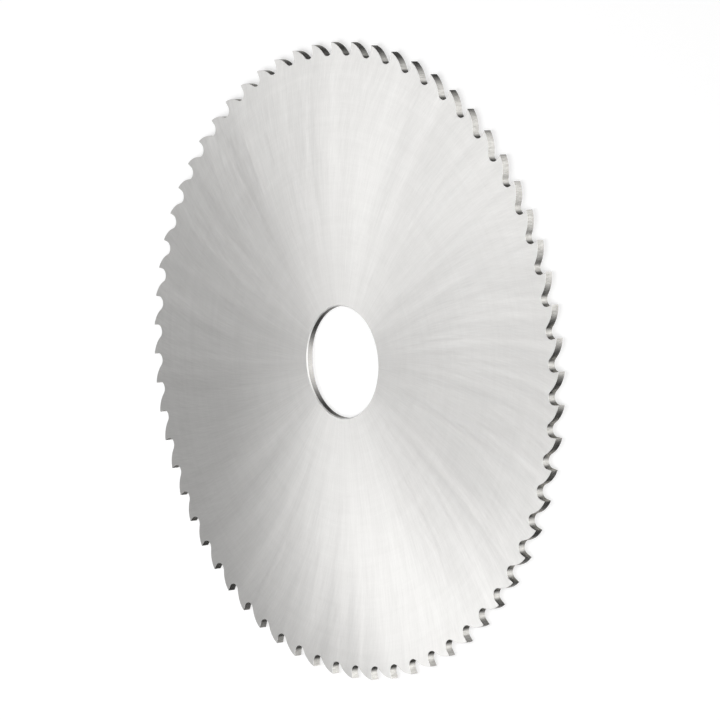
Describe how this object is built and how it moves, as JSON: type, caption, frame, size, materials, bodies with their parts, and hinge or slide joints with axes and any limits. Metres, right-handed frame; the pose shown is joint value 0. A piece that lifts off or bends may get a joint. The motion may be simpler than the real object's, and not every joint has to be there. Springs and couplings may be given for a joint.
{
  "type": "slitting saw",
  "caption": "Thin round slitting saw of ground steel with coarse curved teeth, hollow-ground sides and a plain arbor bore, for cutting narrow slots in metal.",
  "frame": {"origin": "on the bore's axis, level with the lower face of the rim", "axes": "+Z along the bore's axis, out of the upper face; +X through a tooth tip"},
  "size_m": [0.125, 0.125, 0.0016],
  "materials": {
    "ground_steel": "satin, with fine grinding lines that run from the bore to the rim"
  },
  "bodies": {
    "root": {"saw_blade": "ground_steel"}
  },
  "joints": []
}
